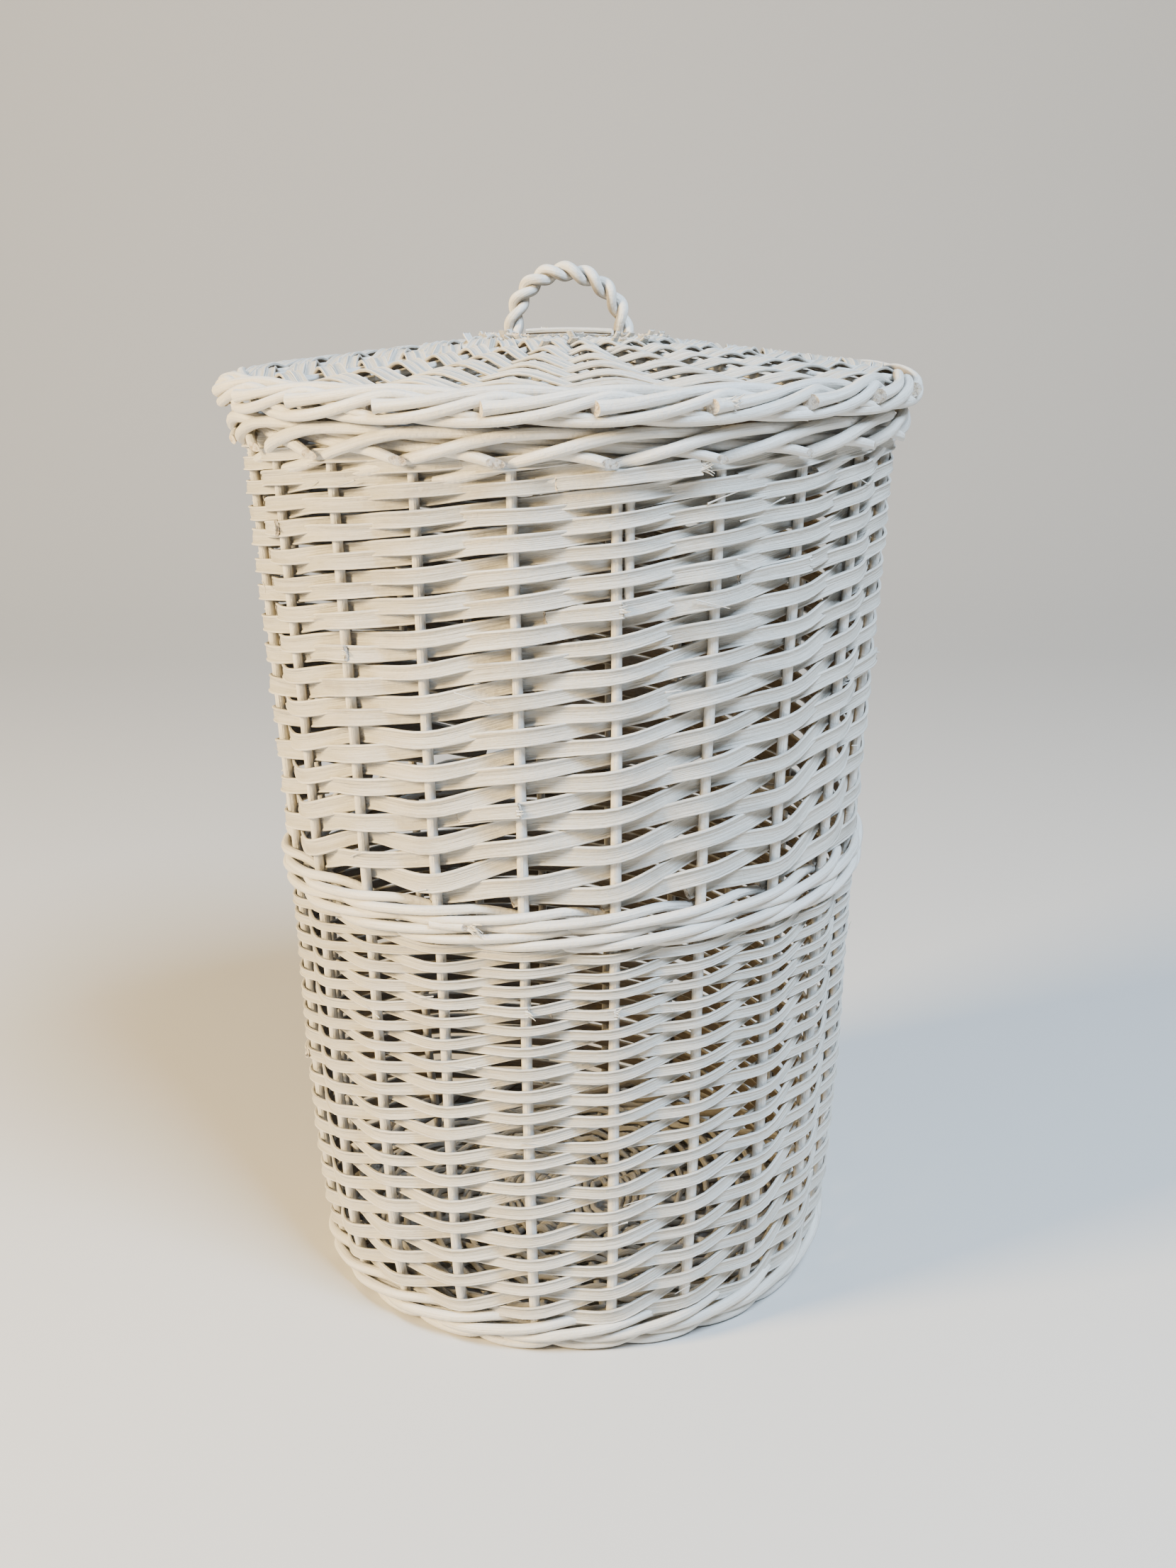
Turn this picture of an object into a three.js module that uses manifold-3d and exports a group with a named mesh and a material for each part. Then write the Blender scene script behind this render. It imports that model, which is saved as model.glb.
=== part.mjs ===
// A round wicker laundry hamper with a loose lift-off lid, woven in white-painted willow.
// Millimetres, +Z up. The front faces -Y and the origin is the middle of the foot, on the floor.
// Upright stakes rise from a round base; siding, waling and borders are worked round them.
// A part that bears on its neighbour keeps a small clearance to it.

import * as THREE from "three";
import { ParametricGeometry } from "three/addons/geometries/ParametricGeometry.js";
import { mergeVertices } from "three/addons/utils/BufferGeometryUtils.js";
import Module from "manifold-3d";

const wasm = await Module();
wasm.setup();

// ---- Driving dimensions ----

const CLEARANCE = 0.35;
const STAKES = 22; // also the number of stick ends round the base and the lid
const PITCH = (2 * Math.PI) / STAKES;
const STAKE_D = 6.3;
const STAKE_SIDES = 8;
const HOLD = 7; // a woven ring runs parallel to the side this far each way from a stake

// The circle of stake centres, at the foot, the waist and the mouth.
const FOOT = { z: 12, r: 158.4 };
const WAIST = { z: 280, r: 179 };
const MOUTH = { z: 536, r: 194 };

const FOOT_BORDER = { inner: 150, outer: 167.3, low: 0, high: 8.3, chamfer: 2.5 };
const TOP_BORDER = { inner: 190, outer: 206.6, low: MOUTH.z, high: 560, chamfer: 3.5 };
const LID_BORDER = { inner: 197.5, outer: 213.5, low: 560.4, high: 580, chamfer: 3.5 };

const FOOT_WALE = { low: 8.7, high: 24.2, rods: 2, thick: 5 };
const MID_WALE = { low: 268.3, high: 290.7, rods: 2, thick: 5.5 };
const LOWER_SIDING = { low: 24.6, high: 267.9, bands: 5, thick: 3 };
const UPPER_SIDING = { low: 291.1, high: 535.6, bands: 5, thick: 3 };

const BYE_STAKE = { low: 465, high: 535.6, diameter: 4.4, beside: 17 };

// Sticks cross in the middle, five one way and six the other, and fan out to the stake spacing.
const CROSSING = { lengthwise: 5, across: 6 };
const STRAIGHT = 17; // a stick stays parallel to its neighbours this far from the middle
const FANNED = 44; // and points outwards from here on
const LID_STICK = { width: 4, high: 4, pitch: 4.8, reach: 196.8, layer: 2.15 };
const BASE_STICK = { width: 5.4, high: 4, pitch: 5, reach: 148.5, layer: 1.6 };

const BASE_Z = 12.5;
const BASE_WEAVE = { inner: 46, outer: 148, thick: 3, bands: 4 };
const LID_CENTRE_Z = 594.2;
const LID_FLAT = 38; // the lid is level this far from its middle
const LID_SLOPE = 0.12; // and falls this much from there on
const LID_WEAVE = { inner: 45, outer: 196.5, rings: 3, thick: 2.5, gap: 0.6, bands: 2 };
const STICK_HOLD = 3; // a lid or base ring runs level this far each way from a stick

const HANDLE = {
  halfWidth: 33.75,
  top: 638.05,
  spring: 598,
  foot: 588,
  leg: 0.08, // the share of the strand's length in each straight leg
  bare: 0.06, // and the share of the arch at each end before the twist starts
  strand: 4.8,
  turns: 4,
  spread: 4.75, // at the feet the two strands stand this far from the handle's plane
  spreadTop: 606,
  spreadFull: 597.5,
  steps: 64,
  sides: 6,
};
const HANDLE_BAR = { length: 52, width: 3.8, thick: 3.4, low: 598.8, aside: 2.2 };

// ---- Materials ----

const PAINTED_ROD = { color: 0xdcd7cd, roughness: 0.55, metalness: 0 };
const PAINTED_STRIP = { color: 0xd8d2c6, roughness: 0.62, metalness: 0 };

// ---- Helpers ----

// The radius of the circle of stake centres at height z.
function stakeRadius(z) {
  const [a, b] = z < WAIST.z ? [FOOT, WAIST] : [WAIST, MOUTH];
  return a.r + ((z - a.z) * (b.r - a.r)) / (b.z - a.z);
}

const flatBase = () => BASE_Z;
const lidSlope = (r) => LID_CENTRE_Z - LID_SLOPE * Math.max(r - LID_FLAT, 0);

// The same geometry with its shared vertices merged, so that it is one closed surface.
function closed(geometry) {
  geometry.deleteAttribute("normal");
  geometry.deleteAttribute("uv");
  return mergeVertices(geometry, 1e-4);
}

// A closed ring: place(step, corner) gives each vertex, for whole steps round and corners of the section.
function ringGeometry(steps, corners, place) {
  const put = (u, v, target) => {
    target.copy(place(Math.round(u * steps) % steps, Math.round(v * corners) % corners));
  };
  return closed(new ParametricGeometry(put, steps, corners));
}

function polar(r, angle, z) {
  return new THREE.Vector3(r * Math.cos(angle), r * Math.sin(angle), z);
}

// Step 2k and step 2k + 1 of a woven ring lie either side of upright k.
function besideUpright(step, hold, r) {
  const upright = Math.floor(step / 2);
  return { upright, angle: upright * PITCH + ((step % 2 ? 1 : -1) * hold) / r };
}

// A border: a plain ring whose section is a rectangle with its corners taken off.
function borderGeometry({ inner, outer, low, high, chamfer: c }) {
  const section = [
    [outer, low + c], [outer, high - c], [outer - c, high], [inner + c, high],
    [inner, high - c], [inner, low + c], [inner + c, low], [outer - c, low],
  ];
  const steps = 2 * STAKES;
  return ringGeometry(steps, section.length, (step, corner) => {
    const [r, z] = section[corner];
    return polar(r, (step * 2 * Math.PI) / steps, z);
  });
}

// A ring worked outside one stake and inside the next. section holds [outward, z] corners.
function sidingGeometry(section, thick, phase) {
  const reach = STAKE_D / 2 + CLEARANCE + thick / 2;
  return ringGeometry(2 * STAKES, section.length, (step, corner) => {
    const [outward, z] = section[corner];
    const { upright, angle } = besideUpright(step, HOLD, stakeRadius(z));
    const side = (upright + phase) % 2 ? -1 : 1;
    return polar(stakeRadius(z) + side * reach + outward, angle, z);
  });
}

function stripSection(low, high, thick) {
  return [[thick / 2, low], [thick / 2, high], [-thick / 2, high], [-thick / 2, low]];
}

function rodSection(low, high, thick) {
  const corner = (k) => {
    const turn = ((k + 0.5) * Math.PI) / 3;
    return [(thick / 2) * Math.cos(turn), (low + high) / 2 + ((high - low) / 2) * Math.sin(turn)];
  };
  return Array.from({ length: 6 }, (_, k) => corner(k));
}

// A ring worked over one stick and under the next, on the surface z = surface(r), in so many bands.
function discWeaveGeometry({ inner, outer, thick, bands }, stickHigh, surface, phase) {
  const radii = Array.from({ length: bands + 1 }, (_, k) => inner + (k * (outer - inner)) / bands);
  const section = [
    ...radii.map((r) => [r, -thick / 2]),
    ...radii.reverse().map((r) => [r, thick / 2]),
  ];
  const reach = stickHigh / 2 + CLEARANCE + thick / 2;
  return ringGeometry(2 * STAKES, section.length, (step, corner) => {
    const [r, up] = section[corner];
    const { upright, angle } = besideUpright(step, STICK_HOLD, r);
    const side = (upright + phase) % 2 ? -1 : 1;
    return polar(r, angle, surface(r) + side * reach + up);
  });
}

// An upright rod that follows the slope of the side, centred on the X axis side of the hamper.
function uprightGeometry(low, high, diameter) {
  const rod = new THREE.CylinderGeometry(diameter / 2, diameter / 2, high - low, STAKE_SIDES, 2);
  rod.rotateX(Math.PI / 2).translate(0, 0, (low + high) / 2);
  const at = rod.attributes.position;
  for (let i = 0; i < at.count; i++) at.setX(i, at.getX(i) + stakeRadius(at.getZ(i)));
  return closed(rod);
}

// One stick of a crossing. It lies along X, row places from the middle one, then fans out.
function stickGeometry({ width, high, pitch, reach, layer }, row, level, surface) {
  const stations = [-reach, -FANNED, -STRAIGHT, STRAIGHT, FANNED, reach];
  const stick = new THREE.BoxGeometry(1, width, high, stations.length - 1, 1, 1);
  const at = stick.attributes.position;
  for (let i = 0; i < at.count; i++) {
    const along = stations[Math.round((at.getX(i) + 0.5) * (stations.length - 1))];
    const far = Math.abs(along);
    const parallel = far <= STRAIGHT;
    const fan = parallel ? 0 : row * PITCH;
    const y = parallel ? row * pitch : far * Math.sin(fan);
    const across = at.getY(i);
    at.setXYZ(
      i,
      along * Math.cos(fan) - Math.sign(along) * across * Math.sin(fan),
      y + across * Math.cos(fan),
      surface(far) + (parallel ? level * layer : 0) + at.getZ(i),
    );
  }
  return closed(stick);
}

// Every stick of a crossing, as { geometry, turn }: the lengthwise ones lie under the others.
function crossing(stick, surface) {
  const group = (count, level, turn) => Array.from({ length: count }, (_, k) => (
    { geometry: stickGeometry(stick, k - (count - 1) / 2, level, surface), turn }
  ));
  return [...group(CROSSING.lengthwise, -1, 0), ...group(CROSSING.across, 1, Math.PI / 2)];
}

function toManifold(geometry) {
  return new wasm.Manifold(new wasm.Mesh({
    numProp: 3,
    vertProperties: new Float32Array(geometry.attributes.position.array),
    triVerts: new Uint32Array(geometry.index.array),
  }));
}

// One geometry from several that overlap.
function joined(geometries) {
  const whole = geometries.map(toManifold).reduce((a, b) => a.add(b)).getMesh();
  const geometry = new THREE.BufferGeometry();
  geometry.setAttribute("position", new THREE.BufferAttribute(whole.vertProperties, 3));
  geometry.setIndex(new THREE.BufferAttribute(whole.triVerts, 1));
  return geometry;
}

// One strand of the twisted handle: down one leg, over the arch and down the other.
class HandleStrand extends THREE.Curve {
  constructor(side) {
    super();
    this.side = side;
  }

  getPoint(t, target = new THREE.Vector3()) {
    const { halfWidth, top, spring, foot, leg, bare, strand, turns } = HANDLE;
    const { spread, spreadTop, spreadFull } = HANDLE;
    const over = THREE.MathUtils.clamp((t - leg) / (1 - 2 * leg), 0, 1);
    const arc = Math.PI * (1 - over);
    const down = Math.max(leg - Math.min(t, 1 - t), 0) / leg;
    const x = halfWidth * Math.cos(arc);
    const z = spring + (top - spring) * Math.sin(arc) - down * (spring - foot);
    const outX = Math.cos(arc) / halfWidth;
    const outZ = Math.sin(arc) / (top - spring);
    const length = Math.hypot(outX, outZ);
    const twisted = THREE.MathUtils.clamp((over - bare) / (1 - 2 * bare), 0, 1);
    const twist = turns * 2 * Math.PI * twisted;
    const near = strand / 2 + CLEARANCE / 2;
    const open = THREE.MathUtils.smoothstep(spreadTop - z, 0, spreadTop - spreadFull);
    const reach = this.side * (near + (spread - near) * open);
    const out = reach * Math.sin(twist);
    return target.set(x + (out * outX) / length, reach * Math.cos(twist), z + (out * outZ) / length);
  }
}

function handleStrandGeometry(side) {
  const section = new THREE.Shape();
  for (let k = 0; k < HANDLE.sides; k++) {
    const turn = (k * 2 * Math.PI) / HANDLE.sides;
    const [x, y] = [(HANDLE.strand / 2) * Math.cos(turn), (HANDLE.strand / 2) * Math.sin(turn)];
    if (k) section.lineTo(x, y);
    else section.moveTo(x, y);
  }
  const along = { steps: HANDLE.steps, extrudePath: new HandleStrand(side) };
  return closed(new THREE.ExtrudeGeometry(section, along));
}

// ---- Assembly ----

const hamper = new THREE.Group();
const basket = new THREE.Group();
const lid = new THREE.Group();
hamper.add(basket, lid);

function addMesh(parent, name, geometry, finish, turn = 0) {
  const mesh = new THREE.Mesh(geometry, new THREE.MeshStandardMaterial(finish));
  mesh.name = name;
  mesh.rotation.z = turn;
  parent.add(mesh);
}

const numbered = (name, k) => `${name}_${String(k + 1).padStart(2, "0")}`;

// Rings worked one above another, each with its stakes the other way round from the one below.
function addCourses(name, { low, high, thick }, count, sectionOf, finish) {
  const tall = (high - low + CLEARANCE) / count;
  for (let k = 0; k < count; k++) {
    const bottom = low + k * tall;
    const section = sectionOf(bottom, bottom + tall - CLEARANCE, thick);
    addMesh(basket, `${name}_${k + 1}`, sidingGeometry(section, thick, k), finish);
  }
}

function addBase() {
  const sticks = crossing(BASE_STICK, flatBase).map((s) => s.geometry.rotateZ(s.turn));
  addMesh(basket, "base_slath", joined(sticks), PAINTED_ROD);
  addMesh(basket, "base_weave", discWeaveGeometry(BASE_WEAVE, BASE_STICK.high, flatBase, 0), PAINTED_STRIP);
}

function addStakes() {
  const low = FOOT_BORDER.high + CLEARANCE;
  const high = TOP_BORDER.low - CLEARANCE;
  for (let k = 0; k < STAKES; k++) {
    addMesh(basket, numbered("side_stake", k), uprightGeometry(low, high, STAKE_D), PAINTED_ROD, k * PITCH);
  }
  const aside = (STAKE_D + BYE_STAKE.diameter) / 2 + CLEARANCE;
  const turn = BYE_STAKE.beside * PITCH + aside / stakeRadius(BYE_STAKE.low);
  const bye = uprightGeometry(BYE_STAKE.low, BYE_STAKE.high, BYE_STAKE.diameter);
  addMesh(basket, "bye_stake", bye, PAINTED_ROD, turn);
}

function addSides() {
  addMesh(basket, "foot_border", borderGeometry(FOOT_BORDER), PAINTED_ROD);
  addCourses("foot_wale", FOOT_WALE, FOOT_WALE.rods, rodSection, PAINTED_ROD);
  addCourses("lower_siding", LOWER_SIDING, LOWER_SIDING.bands, stripSection, PAINTED_STRIP);
  addCourses("mid_wale", MID_WALE, MID_WALE.rods, rodSection, PAINTED_ROD);
  addCourses("upper_siding", UPPER_SIDING, UPPER_SIDING.bands, stripSection, PAINTED_STRIP);
  addMesh(basket, "top_border", borderGeometry(TOP_BORDER), PAINTED_ROD);
}

function addLid() {
  addMesh(lid, "lid_border", borderGeometry(LID_BORDER), PAINTED_ROD);
  crossing(LID_STICK, lidSlope).forEach((stick, k) => {
    addMesh(lid, numbered("lid_stick", k), stick.geometry, PAINTED_ROD, stick.turn);
  });
  const { rings, gap } = LID_WEAVE;
  const wide = (LID_WEAVE.outer - LID_WEAVE.inner + gap) / rings;
  for (let k = 0; k < rings; k++) {
    const inner = LID_WEAVE.inner + k * wide;
    const ring = { ...LID_WEAVE, inner, outer: inner + wide - gap };
    addMesh(lid, `lid_weave_${k + 1}`, discWeaveGeometry(ring, LID_STICK.high, lidSlope, k), PAINTED_STRIP);
  }
}

function addHandle() {
  for (const [k, side] of [-1, 1].entries()) {
    addMesh(lid, `handle_strand_${k + 1}`, handleStrandGeometry(side), PAINTED_ROD);
    const bar = new THREE.BoxGeometry(HANDLE_BAR.length, HANDLE_BAR.width, HANDLE_BAR.thick);
    bar.translate(0, side * HANDLE_BAR.aside, HANDLE_BAR.low + HANDLE_BAR.thick / 2);
    addMesh(lid, `handle_bar_${k + 1}`, closed(bar), PAINTED_STRIP);
  }
}

addBase();
addStakes();
addSides();
addLid();
addHandle();

export default hamper;
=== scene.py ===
"""A round wicker laundry hamper with a loose lid, woven strand by strand in white-painted willow.

Metres, +Z up, the front faces -Y. Places round the hamper are counted in stakes: 0 is at +X, and they
grow to the right as seen from outside. Every strand is a grid rolled into a rod or a strip along a path.
"""

import math
import random

import bmesh
import bpy
import numpy as np
from bpy.props import FloatProperty, FloatVectorProperty, IntProperty, PointerProperty
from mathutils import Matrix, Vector


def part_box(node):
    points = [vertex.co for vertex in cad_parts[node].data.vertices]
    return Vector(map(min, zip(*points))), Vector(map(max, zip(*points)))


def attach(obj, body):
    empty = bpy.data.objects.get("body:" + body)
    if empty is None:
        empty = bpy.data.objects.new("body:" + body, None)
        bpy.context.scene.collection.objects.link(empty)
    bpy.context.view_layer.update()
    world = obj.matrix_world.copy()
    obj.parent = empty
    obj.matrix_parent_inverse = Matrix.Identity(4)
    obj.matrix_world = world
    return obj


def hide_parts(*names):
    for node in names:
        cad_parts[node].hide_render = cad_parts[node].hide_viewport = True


bl_info = {
    "name": "Wicker hamper",
    "version": (1, 0, 0),
    "blender": (4, 5, 0),
    "location": "3D View > Sidebar > Hamper",
    "description": "Weaves a round willow laundry hamper with a loose lid",
    "category": "Add Mesh",
}

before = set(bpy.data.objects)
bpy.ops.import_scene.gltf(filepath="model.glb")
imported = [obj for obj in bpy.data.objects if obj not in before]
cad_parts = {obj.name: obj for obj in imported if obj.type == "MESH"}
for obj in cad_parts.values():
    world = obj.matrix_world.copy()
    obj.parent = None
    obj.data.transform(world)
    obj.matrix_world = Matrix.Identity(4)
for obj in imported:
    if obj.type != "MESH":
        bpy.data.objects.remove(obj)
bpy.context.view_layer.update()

MM = 0.001
UP = np.array([0.0, 0.0, 1.0])
STAKES = sum(name.startswith("side_stake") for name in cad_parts)
PITCH = 2 * math.pi / STAKES
BASKET, LID = "basket", "lid"


def cad_nodes(*starts):
    """The names of the CAD nodes that start with any of these words."""
    return sorted(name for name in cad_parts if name.startswith(starts))


def cad_heights(*starts):
    """The lowest and highest z of those nodes."""
    boxes = [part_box(name) for name in cad_nodes(*starts)]
    return min(low.z for low, _ in boxes), max(high.z for _, high in boxes)


def cad_radius(name):
    """The outer radius of a ring node."""
    low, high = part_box(name)
    return (high.x - low.x) / 2


# ---- The hamper's own surfaces, from the frame ----

FIRST_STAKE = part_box("side_stake_01")
STAKE_D = FIRST_STAKE[1].y - FIRST_STAKE[0].y
STAKE_LOW, STAKE_HIGH = FIRST_STAKE[0].z, FIRST_STAKE[1].z
WAIST_LOW, WAIST_HIGH = cad_heights("mid_wale")
SIDE_Z = (STAKE_LOW, 0.28, STAKE_HIGH)
SIDE_R = (FIRST_STAKE[0].x + STAKE_D / 2, 0.179, FIRST_STAKE[1].x - STAKE_D / 2)
# The lower siding is a little fuller than a straight taper, by FULLNESS at the heights FULL_Z.
FULL_Z = (0.0, 0.02, 0.05, 0.08, 0.14, 0.22, 0.28)
FULLNESS = (0.0, 0.003, 0.0062, 0.0068, 0.0056, 0.002, 0.0)

# The circle through the middle of each rolled border.
FOOT_BORDER_R = cad_radius("foot_border") - 9.5 * MM
TOP_BORDER_R = cad_radius("top_border") - 8.3 * MM
LID_BORDER_R = cad_radius("lid_border") - 8 * MM

# The lid's sticks are level out to LID_FLAT from the middle, and fall by LID_SLOPE from there on.
LID_MIDDLE_Z = 594.2 * MM
LID_FLAT = 38 * MM
LID_SLOPE = 0.12
LID_ROUNDING = 10 * MM
BASE_Z = 12.5 * MM
# The stake that the short bye-stake stands beside.
BYE_BESIDE = 17


def side_radius(z):
    """The radius of the circle of stakes at height z."""
    return np.interp(z, SIDE_Z, SIDE_R) + np.interp(z, FULL_Z, FULLNESS)


def on_side(place, z, out):
    """Points and outward directions on the side, at places counted in stakes, out from their circle."""
    angle = np.asarray(place) * PITCH
    radius = side_radius(z) + out
    outward = np.stack([np.cos(angle), np.sin(angle), np.zeros_like(angle)], axis=1)
    points = outward * radius[:, None]
    points[:, 2] = z
    return points, outward


def lid_height(radius):
    """The height of the lid's sticks: level round the middle, then falling evenly to the border."""
    return LID_MIDDLE_Z - LID_SLOPE * np.maximum(radius - LID_FLAT, 0)


def on_lid(place, radius, up):
    """Points and upward directions on the lid."""
    angle = np.asarray(place) * PITCH
    lean = LID_SLOPE * np.clip((radius - LID_FLAT) / LID_ROUNDING + 0.5, 0, 1)
    points = np.stack([radius * np.cos(angle), radius * np.sin(angle), lid_height(radius) + up], axis=1)
    upward = np.stack([lean * np.cos(angle), lean * np.sin(angle), np.ones_like(angle)], axis=1)
    return points, upward


def on_base(place, radius, up):
    """Points and upward directions on the base."""
    angle = np.asarray(place) * PITCH
    points = np.stack([radius * np.cos(angle), radius * np.sin(angle), BASE_Z + up], axis=1)
    return points, np.broadcast_to(UP, points.shape)


def round_border(place, out, z, middle_radius):
    """Points and outward directions for a border rod, out from the border's middle circle."""
    angle = np.asarray(place) * PITCH
    outward = np.stack([np.cos(angle), np.sin(angle), np.zeros_like(angle)], axis=1)
    points = outward * (middle_radius + out)[:, None]
    points[:, 2] = z
    return points, outward


# ---- Strands ----

# A strip's section: (height, outward) corners of a unit strand, down its outer face and up its inner one.
STRIP = np.array([
    (0.99, 0.45), (0.93, 0.95), (0.80, 1.0), (0.66, 0.42), (0.10, 0.62), (-0.62, 0.38), (-0.78, 1.0),
    (-0.93, 0.92), (-1.0, -0.2), (-0.5, -1.0), (0.4, -1.0), (0.95, -0.4), (1.0, 0.1),
])


def round_section(sides):
    """The section of a round rod, in the same order as a strip's."""
    turn = np.arange(sides) * 2 * math.pi / sides
    return np.stack([-np.sin(turn), np.cos(turn)], axis=1)


def unit(vectors):
    """The vectors, each made one long."""
    return vectors / np.linalg.norm(vectors, axis=1, keepdims=True)


def smooth_curve(stations, steps):
    """A smooth curve through given rows of numbers, as an array of steps rows."""
    rows = np.array(stations, float)
    along = np.arange(len(rows), dtype=float)
    at = np.linspace(0, len(rows) - 1, steps)
    slope = np.gradient(rows, axis=0)
    k = np.minimum(at.astype(int), len(rows) - 2)
    t = (at - along[k])[:, None]
    a, b, u, v = rows[k], rows[k + 1], slope[k], slope[k + 1]
    return (
        (2 * t**3 - 3 * t**2 + 1) * a
        + (t**3 - 2 * t**2 + t) * u
        + (3 * t**2 - 2 * t**3) * b
        + (t**3 - t**2) * v
    )


def wander(rng, at, waves, amount):
    """A slow, seeded wobble at those places: a few sines of random phase."""
    total = np.zeros(len(at))
    for wave in waves:
        total += np.sin(at * wave + rng.uniform(0, 2 * math.pi))
    return amount * total / len(waves)


class Weaving:
    """A bmesh that strands are added to, and the piece that it becomes."""

    # A coated strand counts as facing this far outwards all round.
    COATED = 0.9
    # Each strand's grain starts up to this many metres along it.
    GRAIN_SHIFT = 9
    # Points closer than this are welded.
    WELD = 1e-6

    def __init__(self, name, seed):
        self.name = name
        self.rng = random.Random(seed)
        self.bm = bmesh.new()
        self.uv = self.bm.loops.layers.uv.new("along_strand")
        self.tint = self.bm.verts.layers.float.new("strand_tint")
        self.front = self.bm.verts.layers.float.new("strand_front")

    def add(self, path, outward, half_high, half_thick, section, twist=None, cuts=(0.0, 0.0), coated=False):
        """One strand. half_high and half_thick are numbers or one value per point; cuts slant its two ends.

        A coated strand is painted all round, and any other only on its outer side.
        """
        count, sides = len(path), len(section)
        along = unit(np.gradient(path, axis=0))
        high = unit(np.cross(outward, along))
        out = np.cross(along, high)
        if twist is not None:
            c, s = np.cos(twist)[:, None], np.sin(twist)[:, None]
            high, out = c * high + s * out, c * out - s * high
        scale_h = np.broadcast_to(half_high, count)[:, None, None]
        scale_t = np.broadcast_to(half_thick, count)[:, None, None]
        ring = section[:, 0, None] * high[:, None, :] * scale_h
        ring = ring + section[:, 1, None] * out[:, None, :] * scale_t
        length = np.concatenate([[0], np.cumsum(np.linalg.norm(np.diff(path, axis=0), axis=1))])
        slant = np.einsum("ijk,ik->ij", ring, out)
        start = np.maximum(cuts[0] * slant - length[:, None], 0)
        start[0] = cuts[0] * slant[0]
        end = np.minimum(cuts[1] * slant + (length[-1] - length)[:, None], 0)
        end[-1] = cuts[1] * slant[-1]
        ring = ring + (start + end)[:, :, None] * along[:, None, :]
        middles = np.broadcast_to(path[:, None, :], ring.shape)
        points = np.concatenate([middles[:1], middles + ring, middles[-1:]])
        points = np.concatenate([points, points[:, :1]], axis=1)
        length = np.concatenate([[0], length, length[-1:]]) + self.rng.uniform(0, self.GRAIN_SHIFT)
        front = np.full(sides, self.COATED) if coated else section[:, 1]
        self._roll(points, length, sides, np.concatenate([front, front[:1]]))

    def _roll(self, points, length, sides, front):
        """Lays a grid over the rings of points, with its UV map and its tint, and marks its cut ends."""
        rows = len(points)
        made = bmesh.ops.create_grid(self.bm, x_segments=sides, y_segments=rows - 1, size=1)
        verts = made["verts"]
        tint = self.rng.random()
        for k, (vert, point) in enumerate(zip(verts, points.reshape(-1, 3))):
            vert.co = point
            vert[self.tint] = tint
            vert[self.front] = front[k % len(front)]
        girth = np.linalg.norm(np.diff(points[rows // 2], axis=0), axis=1)
        around = np.concatenate([[0], np.cumsum(girth)])
        width = sides + 1
        for k, vert in enumerate(verts):
            u, v = length[k // width], around[k % width]
            for loop in vert.link_loops:
                loop[self.uv].uv = (u, v)
        for face in {f for v in verts[:width] + verts[-width:] for f in v.link_faces}:
            face.material_index = 1

    def piece(self, body, slot, materials, replaces):
        """Welds the strands' seams, and hands the piece to the frame."""
        bmesh.ops.remove_doubles(self.bm, verts=self.bm.verts, dist=self.WELD)
        for face in self.bm.faces:
            face.smooth = True
        for edge in self.bm.edges:
            a, *rest = edge.link_faces
            if rest and a.material_index != rest[0].material_index:
                edge.smooth = False
        mesh = bpy.data.meshes.new(self.name)
        self.bm.to_mesh(mesh)
        self.bm.free()
        for material in materials:
            mesh.materials.append(material)
        piece = bpy.data.objects.new(self.name, mesh)
        bpy.context.scene.collection.objects.link(piece)
        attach(piece, body)
        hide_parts(*replaces)
        return piece


# ---- Weaves ----

def climb(x, lift, settle=0.85):
    """How many rows a strand has climbed at x stakes from its first stroke.

    It climbs lift rows from each stake that it passes over to the next, which it passes behind, and the
    rest of a row after that.
    """
    pair = np.floor(x / 2)
    t = x - 2 * pair
    return pair + np.minimum(np.where(t < 1, lift * t, lift + (1 - lift) * (t - 1) / settle), 1)


def eased_climb(x, lift, rounding=0.5):
    """climb() with its corners rounded off."""
    offsets = np.linspace(-rounding / 2, rounding / 2, 9)
    return np.mean([climb(x + d, lift) for d in offsets], axis=0)


def lift_at(lifts, odd, row):
    """The part of a row that a strand climbs, from its value at the lowest row and its change per row."""
    lowest, change = lifts[odd]
    return lowest + change * row


def over_and_behind(x, fullness=0.07):
    """1 over the even stakes and -1 behind the odd ones, nearly straight in between."""
    return (np.cos(math.pi * x) + fullness * np.cos(3 * math.pi * x)) / (1 + fullness)


def row_height(first, step, shrink):
    """A function from row to height, for rows whose spacing shrinks evenly from its first step."""
    return lambda row: first + step * row - shrink * row * (row - 1) / 2


def uneven(place, row):
    """A slow drift of a weave's rows, the same for neighbouring strands, from -1 to 1."""
    drift = np.sin(place * 2 * PITCH + row * 0.45) + np.sin(place * 5 * PITCH - row * 0.83 + 1.7)
    return (drift + np.sin(place * 9 * PITCH + row * 1.31 + 4.0)) / 3


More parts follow.
